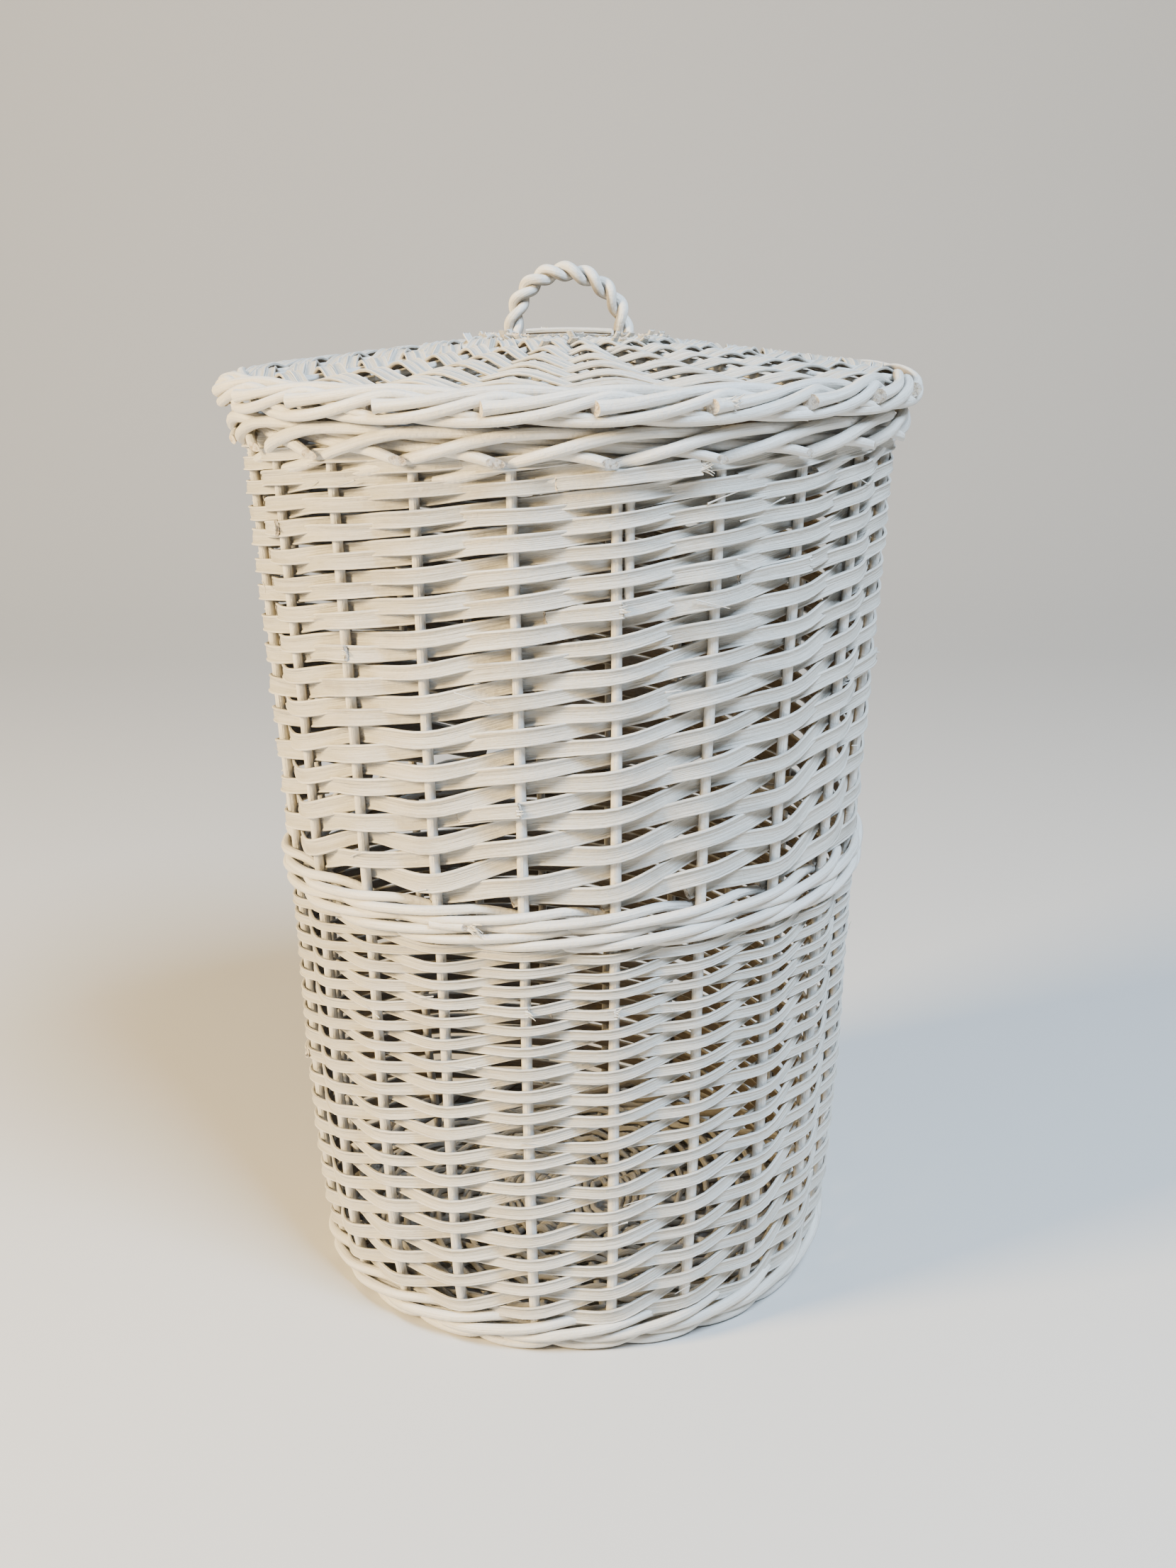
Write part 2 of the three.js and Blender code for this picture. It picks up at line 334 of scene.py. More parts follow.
def rand_weave(weaving, rows, height, lifts, odd_low, drift, reach, half_high, half_thick, surface, section,
               steps=6, slew=(0,)):
    """French randing: one strand to a stake, each a row higher at every second stake.

    The strands that pass over the odd stakes lie odd_low of a row lower and climb by the second of lifts.
    slew lists the sides of its row that each strand lies on, for a weave of strands in pairs.
    """
    last = 2 * (rows - 1)
    x = np.linspace(-1.15, last + 1.25, int((last + 2.4) * steps) + 1)
    for strand in range(STAKES):
        rng = weaving.rng
        odd = strand % 2
        level = eased_climb(x, lift_at(lifts, odd, x / 2)) - odd * odd_low
        strand_high = 1 + rng.uniform(-0.10, 0.10)
        jitter = wander(rng, x, (0.9, 2.3), 0.05) + wander(rng, x, (0.21, 0.43), 0.04)
        for side in slew:
            high = half_high(level) * strand_high * (1 + wander(rng, x, (1.1, 3.7), 0.09))
            across = height(level + jitter) + side * high * 1.04 + drift * uneven(strand + x, level)
            out = reach * over_and_behind(x) + wander(rng, x, (2.9,), 0.25 * MM)
            points, outward = surface(strand + x, across, out)
            twist = wander(rng, x, (1.7, 4.1), math.radians(6))
            weaving.add(points, outward, high, half_thick, section, twist, cuts=(0.6, 0.6))


def pairing(weaving, surface, first, last, rounds, reach, thick):
    """Two strands that pass over and under the sticks by turns, spiralling outwards."""
    for strand in (0, 1):
        x = np.linspace(0, rounds * STAKES, rounds * STAKES * 5 + 1)
        radius = first + (last - first) * x / x[-1] + strand * 0.6 * MM
        out = reach * np.cos(math.pi * (x + strand)) + wander(weaving.rng, x, (1.3, 2.9), 0.3 * MM)
        points, outward = surface(x, radius, out)
        size = thick * (1 + wander(weaving.rng, x, (0.7, 2.1), 0.12))
        weaving.add(points, outward, size, size * 0.8, round_section(8))


def wale_out(p):
    """How far out a waling rod is: 1 in front of two stakes, then -1 behind the third."""
    front = np.clip(1.3 * np.sin(math.pi * p / 2), 0, 1)
    return np.where(p < 2, front, -np.sin(math.pi * (p - 2)))


def wale_rise(p):
    """From -1 where a waling rod comes out to 1 where it goes in, and back behind the third stake."""
    return np.where(p < 2, p - 1, 1 - 2 * (p - 2))


def three_rod_wale(weaving, middle_z, course, rounds, diameter, start, steps=7):
    """Three rods, each in front of two stakes and behind the third, climbing one course a round."""
    reach = (STAKE_D + diameter) / 2
    section = round_section(8)
    for rod in range(3):
        rng = weaving.rng
        span = rounds * STAKES
        x = np.linspace(0, span, span * steps + 1)
        place = x + start + rod
        p = np.mod(x + 0.5, 3)
        nearby = [np.mod(p + d, 3) for d in np.linspace(-0.15, 0.15, 5)]
        out = np.mean([wale_out(q) for q in nearby], axis=0)
        rise = np.mean([wale_rise(q) for q in nearby], axis=0)
        z = middle_z + course * ((x + rod) / STAKES - rounds / 2 + 0.5 * rise)
        radius = diameter / 2 * (1 + wander(rng, x, (0.31, 1.9), 0.06))
        z = z + wander(rng, x, (1.3, 2.7), 0.35 * MM)
        points, outward = on_side(place, z, reach * out)
        weaving.add(points, outward, radius, radius, section, cuts=(0.8, 0.8))


def border_rods(weaving, stations, middle_radius, diameter, steps, shift=0.0, cuts=(0.3, -1.0), sides=10,
                swell=(0.0, 0.0)):
    """One rod to a stake, each through the same stations of (stakes along, mm out, mm high).

    swell makes each rod thicker, or thinner where it is negative, by these parts at its start and its end.
    """
    for stake in range(STAKES):
        rng = weaving.rng
        curve = smooth_curve(stations, steps)
        at = curve[:, 0]
        out = curve[:, 1] * MM + wander(rng, at, (1.9, 3.3), 0.35 * MM)
        z = curve[:, 2] * MM + wander(rng, at, (1.6, 2.9), 0.45 * MM)
        place = at + stake + shift + rng.uniform(-0.04, 0.04)
        points, outward = round_border(place, out, z, middle_radius)
        size = diameter / 2 * rng.uniform(0.92, 1.06)
        ends = swell[0] * np.exp(-6 * (at - at[0])) + swell[1] * np.exp(-4 * (at[-1] - at))
        radius = size * (1 + wander(rng, at, (2.1, 5.3), 0.05) + ends)
        weaving.add(points, outward, radius, radius, round_section(sides), cuts=cuts)


def fray(weaving, tip, along, outward, count, long):
    """Fine torn fibres that stand out of the end of a strand."""
    rng = weaving.rng
    side = np.cross(outward, along)
    for _ in range(count):
        t = np.linspace(0, 1, 6)[:, None]
        lean = rng.uniform(-0.5, 0.5) * side + rng.uniform(0.0, 0.5) * outward
        start = tip + side * rng.uniform(-2.2, 2.2) * MM - along * 2 * MM
        reach = long * rng.uniform(0.4, 1.0)
        path = start + reach * (along * t + lean * t**2)
        thin = rng.uniform(0.25, 0.6) * MM * np.linspace(1, 0.25, 6)
        facing = np.broadcast_to(outward, path.shape)
        weaving.add(path, facing, thin * 1.6, thin, round_section(5), coated=True)


def splice(weaving, stake, row, height, lifts, odd_low, half_high, reach, thick, frayed):
    """The end of one strip lying on the start of the next, over a stake."""
    odd = stake % 2
    x = np.linspace(-0.72, weaving.rng.uniform(-0.02, 0.12), 12)
    level = row + eased_climb(x, lift_at(lifts, odd, row)) - odd * odd_low
    out = reach * over_and_behind(x) + 1.9 * thick * np.linspace(0.55, 1, 12)
    points, outward = on_side(stake + x, height(level) + 0.4 * MM, out)
    high = half_high * np.linspace(0.85, 1.05, 12)
    weaving.add(points, outward, high, thick, STRIP, cuts=(1.5, -0.6))
    along = unit(np.diff(points, axis=0))[-1]
    fray(weaving, points[-1] + outward[-1] * thick * 0.5, along, outward[-1], frayed, 6 * MM)


def torn_strip(weaving, stake, height, rise, reach, half_high, thick):
    """A strip torn off past a stake, whose end bends outwards."""
    x = np.linspace(-0.6, 0.72, 18)
    out = reach * over_and_behind(np.clip(x, -1, 0.2)) + 2.2 * thick + 4 * MM * np.clip(x, 0, 1) ** 2
    points, outward = on_side(stake + x, height + rise * x, out)
    high = half_high * np.interp(x, (-0.6, 0.72), (0.85, 1.1))
    weaving.add(points, outward, high, thick * 0.7, STRIP, cuts=(1.5, 1.3))
    along = unit(np.diff(points, axis=0))[-1]
    fray(weaving, points[-1], along, outward[-1], count=16, long=10 * MM)


def splinters(weaving, count, low, high, out):
    """Fine hairs of split wood that stand a little off the weave."""
    rng = weaving.rng
    for _ in range(count):
        place = rng.uniform(0, STAKES)
        t = np.linspace(0, 1, 8)
        run = rng.uniform(0.15, 0.4) * rng.choice((-1, 1))
        z = rng.uniform(low, high) + rng.uniform(-9, 9) * MM * t
        points, outward = on_side(place + run * t, z, out + rng.uniform(1, 4) * MM * t**2)
        thin = rng.uniform(0.2, 0.42) * MM * np.linspace(1, 0.3, 8)
        weaving.add(points, outward, thin * 1.5, thin, round_section(5), coated=True)


def skein_tips(weaving, count):
    """Short cut ends of skein that stand up out of the lid, most of them round the handle's feet."""
    rng = weaving.rng
    for k in range(count):
        radius = rng.uniform(30, 60) * MM
        angle = rng.choice((0, math.pi)) + rng.gauss(0, 0.75) if k % 3 else rng.uniform(0, 2 * math.pi)
        turn = rng.uniform(-1.2, 1.2)
        t = np.linspace(0, 1, 5)
        along = np.array([math.cos(angle + turn), math.sin(angle + turn), 0.0])
        middle = np.array([radius * math.cos(angle), radius * math.sin(angle), 0.0])
        path = middle + along * (t * rng.uniform(3, 6) * MM)[:, None]
        path[:, 2] = lid_height(radius) + 2.6 * MM + t**1.4 * rng.uniform(2.6, 5.6) * MM
        upward = np.broadcast_to(UP, path.shape)
        wide = rng.uniform(2.3, 3.5) * MM
        slant = rng.uniform(-0.8, 0.8)
        weaving.add(path, upward, wide, 0.75 * MM, STRIP, cuts=(0, slant), coated=True)


# ---- Materials ----

PAINT = (0.71, 0.695, 0.66, 1.0)
# Dark willow, seen where the paint is thin. On the bare inner side its darkness also stands in as painted
# shade of the basket's inside.
WOOD_AND_INSIDE_SHADE = (0.125, 0.10, 0.075, 1.0)
CUT_WOOD = (0.56, 0.44, 0.29, 1.0)
PITH = (0.20, 0.145, 0.09, 1.0)


def shaded(colour, factors):
    """The colour with its red, green and blue multiplied by these factors."""
    return tuple(c * f for c, f in zip(colour[:3], factors)) + (1.0,)


class Sockets:
    """Shader nodes of one material, made by add()."""

    def __init__(self, name):
        self.material = bpy.data.materials.new(name)
        self.material.use_nodes = True
        self.tree = self.material.node_tree
        self.tree.nodes.clear()

    def add(self, kind, settings=None, **inputs):
        """A node with its settings, then its inputs by name or by number as _0, _1; returns the node."""
        node = self.tree.nodes.new(kind)
        for key, value in (settings or {}).items():
            setattr(node, key, value)
        for key, value in inputs.items():
            index = int(key[1:]) if key[0] == "_" else key.replace("_", " ")
            socket = node.inputs[index]
            if isinstance(value, Value):
                value = value.socket
            if isinstance(value, bpy.types.NodeSocket):
                self.tree.links.new(value, socket)
            else:
                socket.default_value = value
        return node

    def value(self, socket):
        """A socket as a Value."""
        return Value(self, socket)

    def attribute(self, name):
        """One of the strands' own numbers."""
        return self.value(self.add("ShaderNodeAttribute", {"attribute_name": name}).outputs["Fac"])

    def mix(self, amount, a, b):
        """Colour a, or colour b where the amount is 1."""
        node = self.add("ShaderNodeMix", {"data_type": "RGBA"}, _0=amount, _6=a, _7=b)
        return node.outputs[2]

    def ramp(self, value, low, high):
        """0 below low, 1 above high and smooth in between."""
        node = self.add(
            "ShaderNodeMapRange", {"interpolation_type": "SMOOTHSTEP"},
            Value=value, From_Min=low, From_Max=high, To_Min=0.0, To_Max=1.0,
        )
        return self.value(node.outputs["Result"])

    def noise(self, vector, scale, detail=3.0, roughness=0.55):
        """Noise from 0 to 1."""
        node = self.add(
            "ShaderNodeTexNoise", {"noise_dimensions": "3D"},
            Vector=vector, Scale=scale, Detail=detail, Roughness=roughness,
        )
        return self.value(node.outputs["Fac"])


class Value:
    """A shader value that can be written in an expression."""

    def __init__(self, sockets, socket):
        self.sockets, self.socket = sockets, socket

    def _maths(self, operation, first, second):
        node = self.sockets.add("ShaderNodeMath", {"operation": operation}, _0=first, _1=second)
        return Value(self.sockets, node.outputs[0])

    def __add__(self, other):
        return self._maths("ADD", self, other)

    def __sub__(self, other):
        return self._maths("SUBTRACT", self, other)

    def __mul__(self, other):
        return self._maths("MULTIPLY", self, other)

    def __rsub__(self, other):
        return self._maths("SUBTRACT", other, self)

    __radd__ = __add__
    __rmul__ = __mul__


def painted_willow(name, paint, wood, thin, bare, grain, rough, rims):
    """White paint brushed over willow: grain runs along each strand, and the paint is thin in places.

    thin and bare say how much wood shows on the outer and the inner side, grain how deep the fibres are
    and rims how much darker a strip is between its rims. The dark wood on the inner side is partly
    unpainted willow and partly painted shade of the basket's inside, and the darkening between the rims is
    painted shade.
    """
    s = Sockets(name)
    along = s.add("ShaderNodeUVMap", {"uv_map": "along_strand"}).outputs["UV"]
    tint = s.attribute("strand_tint")
    stretched = s.add("ShaderNodeMapping", Vector=along, Scale=(22.0, 900.0, 1.0)).outputs[0]
    streaks = s.add("ShaderNodeMapping", Vector=along, Scale=(9.0, 230.0, 1.0)).outputs[0]
    place = s.add("ShaderNodeTexCoord").outputs["Object"]
    fibre = s.noise(stretched, 1.0, detail=4.0, roughness=0.6)
    brush = s.noise(streaks, 1.0, detail=3.0)
    cloud = s.noise(place, 34.0, detail=4.0)
    blobs = s.noise(place, 420.0, detail=2.0)
    front = s.attribute("strand_front")
    # Painted shade: the inner side of each strand is left bare and dark, partly as unpainted willow and
    # partly as the shade inside the basket.
    inner = s.ramp(front * -1 + (brush - 0.5) * 0.7, 0.15, 0.85) * bare
    thin_paint_and_inside_shade = s.ramp(brush * 0.6 + cloud * 0.55 + tint * 0.10, 0.60, 0.86) * thin
    thin_paint_and_inside_shade = s.ramp(thin_paint_and_inside_shade + inner, 0.0, 1.0)
    warm = s.mix(tint * 0.6, paint, shaded(paint, (0.98, 0.955, 0.90)))
    # Painted shade: a strip is darkened in the hollow between its raised rims, where the rims would shade
    # it.
    hollow_shade = (1 - s.ramp(front, 0.7, 0.95)) * rims
    streaks_and_hollow_shade = s.ramp(fibre, 0.35, 0.70) * 0.45 + s.ramp(brush, 0.40, 0.66) * 0.35 + hollow_shade * 0.6
    shade = s.mix(streaks_and_hollow_shade, warm, shaded(paint, (0.70, 0.68, 0.63)))
    colour = s.mix(thin_paint_and_inside_shade, shade, wood)
    height = fibre * grain + brush * 0.8 + blobs * 0.55
    bump = s.add("ShaderNodeBump", Height=height, Strength=0.9, Distance=0.0011).outputs[0]
    roughness = rough + (cloud - 0.5) * 0.25 + thin_paint_and_inside_shade * 0.2
    shader = s.add("ShaderNodeBsdfPrincipled", Base_Color=colour, Roughness=roughness, Normal=bump)
    shader.inputs["Specular IOR Level"].default_value = 0.42
    s.add("ShaderNodeOutputMaterial", Surface=shader.outputs[0])
    return s.material


def cut_willow(name, wood, pith):
    """The end of a cut rod: pale wood and darker pith, partly covered by paint."""
    s = Sockets(name)
    place = s.add("ShaderNodeTexCoord").outputs["Object"]
    speckle = s.noise(place, 900.0, detail=4.0, roughness=0.7)
    patches = s.noise(place, 320.0, detail=3.0)
    colour = s.mix(s.ramp(speckle, 0.42, 0.62), pith, wood)
    colour = s.mix(s.ramp(patches, 0.35, 0.62) * 0.5 + 0.12, colour, PAINT)
    bump = s.add("ShaderNodeBump", Height=speckle + patches, Strength=0.8, Distance=0.0008).outputs[0]
    shader = s.add("ShaderNodeBsdfPrincipled", Base_Color=colour, Roughness=0.8, Normal=bump)
    s.add("ShaderNodeOutputMaterial", Surface=shader.outputs[0])
    return s.material


def plain_floor(name, colour):
    """A matt floor with a faint mottle."""
    s = Sockets(name)
    place = s.add("ShaderNodeTexCoord").outputs["Object"]
    grain = s.noise(place, 60.0, detail=6.0)
    shade = s.mix(grain * 0.25, colour, shaded(colour, (0.93, 0.93, 0.93)))
    shader = s.add("ShaderNodeBsdfPrincipled", Base_Color=shade, Roughness=0.75)
    s.add("ShaderNodeOutputMaterial", Surface=shader.outputs[0])
    return s.material


# ---- Sizes and colours that a user would change ----

class HamperWillow(bpy.types.PropertyGroup):
    """The willow that the hamper is woven from."""

    strip_thickness: FloatProperty(
        name="Strip thickness", description="Thickness of the flat split strips", default=2.7 * MM,
        unit="LENGTH", precision=5,
    )
    wale_diameter: FloatProperty(
        name="Wale rod", description="Diameter of the round rods at the waist", default=6.1 * MM,
        unit="LENGTH", precision=5,
    )
    foot_diameter: FloatProperty(
        name="Foot rod", description="Diameter of the round rods at the foot", default=6.6 * MM,
        unit="LENGTH", precision=5,
    )
    border_diameter: FloatProperty(
        name="Border rod", description="Diameter of the rods in the top border", default=6.9 * MM,
        unit="LENGTH", precision=5,
    )
    lid_border_diameter: FloatProperty(
        name="Lid border rod", description="Diameter of the rods in the lid border", default=6.2 * MM,
        unit="LENGTH", precision=5,
    )
    strand_steps: IntProperty(
        name="Steps", description="Cuts along a strip between two stakes", default=7, min=3, max=16,
    )


class HamperPaint(bpy.types.PropertyGroup):
    """The paint on the willow."""

    paint: FloatVectorProperty(
        name="Paint", description="Colour of the brushed paint", subtype="COLOR", size=4, default=PAINT,
    )
    # The default wood colour is darker than the willow's own. On the bare inner side it also paints in the
    # shade of the basket's inside.
    wood: FloatVectorProperty(
        name="Wood", description="Colour of the willow where the paint is thin", subtype="COLOR", size=4,
        default=WOOD_AND_INSIDE_SHADE,
    )
    thin: FloatProperty(
        name="Thin paint", description="How far the wood shows through thin paint", default=0.35,
        subtype="FACTOR", min=0, max=1,
    )


class HamperStage(bpy.types.PropertyGroup):
    """The floor, lamps and camera."""

    floor: FloatVectorProperty(
        name="Floor", description="Colour of the plain floor", subtype="COLOR", size=4,
        default=(0.56, 0.55, 0.53, 1.0),
    )
    sky: FloatVectorProperty(
        name="Surroundings", description="Colour of the soft light from all round", subtype="COLOR",
        size=4, default=(0.80, 0.84, 0.90, 1.0),
    )
    key_power: FloatProperty(
        name="Warm lamp", description="Power of the warm lamp at the left", default=330.0, unit="POWER",
    )
    fill_power: FloatProperty(
        name="Cool lamp", description="Power of the cool lamp above and at the right", default=260.0,
        unit="POWER",
    )
    sky_strength: FloatProperty(
        name="Surroundings strength", description="Strength of the light from all round", default=0.26,
    )


def finishes(scene):
    """The materials of the hamper, made once: rod, strip and cut end."""
    made = {m.name: m for m in bpy.data.materials}
    paint = scene.hamper_paint
    if "painted rod" not in made:
        colours = tuple(paint.paint), tuple(paint.wood)
        made["painted rod"] = painted_willow(
            "painted rod", *colours, thin=paint.thin * 0.6, bare=0.6, grain=0.7, rough=0.50, rims=0,
        )
        made["painted strip"] = painted_willow(
            "painted strip", *colours, thin=paint.thin, bare=0.95, grain=1.3, rough=0.55, rims=1,
        )
        made["cut end"] = cut_willow("cut end", CUT_WOOD, PITH)
    return made["painted rod"], made["painted strip"], made["cut end"]


# ---- Operators, one to a piece or a group of like pieces ----

def aimed(obj, at):
    """Turns a lamp to face a point."""
    obj.rotation_euler = (Vector(at) - obj.location).to_track_quat("-Z", "Y").to_euler()


def area_lamp(name, location, size, power, colour, at=(0, 0, 0.3)):
    """A square lamp that faces the middle of the hamper."""
    data = bpy.data.lights.new(name, "AREA")
    data.size, data.energy, data.color = size, power, colour
    lamp = bpy.data.objects.new(name, data)
    bpy.context.scene.collection.objects.link(lamp)
    lamp.location = location
    aimed(lamp, at)


class HAMPER_OT_stage(bpy.types.Operator):
    """Makes the floor, the lamps and the camera"""

    bl_idname = "hamper.stage"
    bl_label = "Stage"

    # The floor runs flat from FLOOR_FRONT to FLOOR_BACK, curves up by FLOOR_BEND and then stands upright.
    FLOOR_HALF_WIDTH, FLOOR_LENGTH = 7, 12
    FLOOR_FRONT, FLOOR_BACK, FLOOR_BEND = -5, 2.0, 1.5
    CAMERA_AT = (0.0118, -1.1113, 0.6324)
    CAMERA_DOWN, CAMERA_ROLL, CAMERA_LENS = 0.2786, 0.004, 40.7

    def execute(self, context):
        settings = context.scene.hamper_stage
        bm = bmesh.new()
        bmesh.ops.create_grid(bm, x_segments=1, y_segments=40, size=1)
        for vert in bm.verts:
            x = vert.co.x * self.FLOOR_HALF_WIDTH
            y = (vert.co.y + 1) / 2 * self.FLOOR_LENGTH + self.FLOOR_FRONT
            past = y - self.FLOOR_BACK
            turn = min(max(past, 0) / self.FLOOR_BEND, math.pi / 2)
            rise = max(past - self.FLOOR_BEND * math.pi / 2, 0)
            y = min(y, self.FLOOR_BACK) + self.FLOOR_BEND * math.sin(turn)
            vert.co = (x, y, self.FLOOR_BEND * (1 - math.cos(turn)) + rise)
        for face in bm.faces:
            face.smooth = True
        mesh = bpy.data.meshes.new("floor")
        bm.to_mesh(mesh)
        bm.free()
        mesh.materials.append(plain_floor("floor", tuple(settings.floor)))
        floor = bpy.data.objects.new("floor", mesh)
        context.scene.collection.objects.link(floor)

        world = bpy.data.worlds.new("surroundings")
        context.scene.world = world
        world.use_nodes = True
        background = world.node_tree.nodes["Background"]
        background.inputs["Color"].default_value = settings.sky
        background.inputs["Strength"].default_value = settings.sky_strength
        area_lamp(
            "warm lamp", (-2.6, -1.3, 1.5), size=0.8, power=settings.key_power, colour=(1.0, 0.73, 0.36),
        )
        area_lamp(
            "cool lamp", (1.1, -1.5, 2.8), size=1.1, power=settings.fill_power, colour=(0.62, 0.79, 1.0),
        )

        data = bpy.data.cameras.new("camera")
        data.lens = self.CAMERA_LENS
        camera = bpy.data.objects.new("camera", data)
        context.scene.collection.objects.link(camera)
        camera.location = self.CAMERA_AT
        camera.rotation_euler = (math.pi / 2 - self.CAMERA_DOWN, self.CAMERA_ROLL, 0)
        context.scene.camera = camera
        return {"FINISHED"}


class HAMPER_OT_stakes(bpy.types.Operator):
    """Makes the upright stakes and the short bye-stake"""

    bl_idname = "hamper.stakes"
    bl_label = "Stakes"

    FOOT_RADIUS, MOUTH_RADIUS, BYE_RADIUS = 3.3 * MM, 2.95 * MM, 2.6 * MM

    def execute(self, context):
        rod, _, cut = finishes(context.scene)
        weaving = Weaving("side_stakes", seed=11)
        for stake in range(STAKES):
            z = np.linspace(STAKE_LOW, STAKE_HIGH + 4 * MM, 60)
            out = wander(weaving.rng, z, (21, 47), 0.3 * MM)
            place = stake + wander(weaving.rng, z, (9, 17), 0.012)
            if stake == BYE_BESIDE:
                # It leans away a little, and so leaves room for the bye-stake.
                place = place - np.interp(z, (0.30, 0.46), (0.0, 0.008))
            points, outward = on_side(place, z, out)
            radius = np.interp(z, (STAKE_LOW, STAKE_HIGH), (self.FOOT_RADIUS, self.MOUTH_RADIUS))
            radius = radius * (1 + wander(weaving.rng, z, (33, 71), 0.04))
            weaving.add(points, outward, radius, radius, round_section(10))
        weaving.piece(BASKET, "painted_rod", (rod, cut), cad_nodes("side_stake"))

        weaving = Weaving("bye_stake_rod", seed=12)
        low, high = cad_heights("bye_stake")
        near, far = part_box("bye_stake")
        place = math.atan2(near.y + far.y, near.x + far.x) / PITCH
        z = np.linspace(low, high + 3 * MM, 14)
        points, outward = on_side(np.full(len(z), place), z, np.zeros(len(z)))
        weaving.add(points, outward, self.BYE_RADIUS, self.BYE_RADIUS, round_section(10))
        weaving.piece(BASKET, "painted_rod", (rod, cut), ["bye_stake"])
        return {"FINISHED"}


class HAMPER_OT_siding(bpy.types.Operator):
    """Weaves the lower and the upper siding"""

    bl_idname = "hamper.siding"
    bl_label = "Siding"

    # The lifts of the strands over the even and the odd stakes, and how far down a row the odd ones lie.
    LOWER_LIFTS, LOWER_STEP = ((0.68, 0.0), (0.83, 0.0)), 0.12
    UPPER_LIFTS, UPPER_STEP = ((0.44, -0.003), (0.88, -0.033)), 0.22
    DRIFT = 0.9 * MM
    TORN_AT, TORN_RISE, TORN_HALF_HIGH = 534 * MM, 6 * MM, 4.3 * MM
    # Each splice is a stake, a row and a number of torn fibres.
    LOWER_SPLICES = ((17, 13, 5), (16, 13, 3), (20, 9, 4), (1, 12, 4), (5, 4, 5), (9, 10, 3), (12, 7, 5))
    UPPER_SPLICES = (
        (17, 8, 7), (16, 2, 4), (19, 9, 3), (21, 5, 4), (2, 10, 5), (4, 3, 4), (7, 8, 6), (10, 5, 4),
        (13, 10, 5), (14, 6, 3),
    )

    def execute(self, context):
        willow = context.scene.hamper_willow
        _, strip, cut = finishes(context.scene)
        thick = willow.strip_thickness / 2
        reach = STAKE_D / 2 + thick

        lower = row_height(first=27.6 * MM, step=18.7 * MM, shrink=0.51 * MM)
        weaving = Weaving("lower_siding", seed=21)
        rand_weave(
            weaving, rows=17, height=lower, lifts=self.LOWER_LIFTS, odd_low=self.LOWER_STEP,
            drift=self.DRIFT, reach=reach, half_thick=thick, surface=on_side, section=STRIP,
            half_high=lambda row: np.interp(row, (0, 16), (4.2 * MM, 2.8 * MM)),
            steps=willow.strand_steps,
        )
        for stake, row, frayed in self.LOWER_SPLICES:
            splice(
                weaving, stake, row, lower, self.LOWER_LIFTS, self.LOWER_STEP, half_high=3.2 * MM,
                reach=reach, thick=thick * 0.7, frayed=frayed,
            )
        splinters(weaving, count=26, low=40 * MM, high=262 * MM, out=reach + thick)
        weaving.piece(BASKET, "painted_strip", (strip, cut), cad_nodes("lower_siding"))

        upper = row_height(first=308 * MM, step=22.6 * MM, shrink=0.78 * MM)
        weaving = Weaving("upper_siding", seed=22)
        rand_weave(
            weaving, rows=14, height=upper, lifts=self.UPPER_LIFTS, odd_low=self.UPPER_STEP,
            drift=self.DRIFT, reach=reach, half_thick=thick, surface=on_side, section=STRIP,
            half_high=lambda row: np.interp(row, (0, 13), (5.25 * MM, 4.15 * MM)),
            steps=willow.strand_steps,
        )
        for stake, row, frayed in self.UPPER_SPLICES:
            splice(
                weaving, stake, row, upper, self.UPPER_LIFTS, self.UPPER_STEP, half_high=4.4 * MM,
                reach=reach, thick=thick * 0.8, frayed=frayed,
            )
        splinters(weaving, count=34, low=300 * MM, high=535 * MM, out=reach + thick)
        torn_strip(weaving, BYE_BESIDE, self.TORN_AT, self.TORN_RISE, reach, self.TORN_HALF_HIGH, thick)
        weaving.piece(BASKET, "painted_strip", (strip, cut), cad_nodes("upper_siding"))
        return {"FINISHED"}


class HAMPER_OT_waling(bpy.types.Operator):
    """Weaves the bands of round rods at the waist and at the foot"""

    bl_idname = "hamper.waling"
    bl_label = "Waling"

    # Each loose rod end at the waist is a place and a height in millimetres.
    LOOSE_ENDS = ((15.42, 282), (3.3, 280), (9.7, 283))

    def execute(self, context):
        willow = context.scene.hamper_willow
        rod, _, cut = finishes(context.scene)
        weaving = Weaving("waist_waling", seed=31)
        middle = (WAIST_LOW + WAIST_HIGH) / 2
        three_rod_wale(
            weaving, middle, course=11.2 * MM, rounds=2, diameter=willow.wale_diameter, start=3,
        )
        for place, level in self.LOOSE_ENDS:
            x = np.linspace(-0.45, 0, 8)
            points, outward = on_side(place + x, (level + 3 * x) * MM, (7.4 + 1.5 * x) * MM)
            weaving.add(points, outward, 2.9 * MM, 2.4 * MM, round_section(8), cuts=(0, -1.5))
            along = unit(np.diff(points, axis=0))[-1]
            fray(weaving, points[-1], along, outward[-1], count=16, long=13 * MM)
        weaving.piece(BASKET, "painted_rod", (rod, cut), cad_nodes("mid_wale"))

        weaving = Weaving("foot_waling", seed=32)
        three_rod_wale(
            weaving, 17 * MM, course=15 * MM, rounds=1, diameter=willow.foot_diameter, start=9,
        )
        weaving.piece(BASKET, "painted_rod", (rod, cut), cad_nodes("foot_wale"))
        return {"FINISHED"}


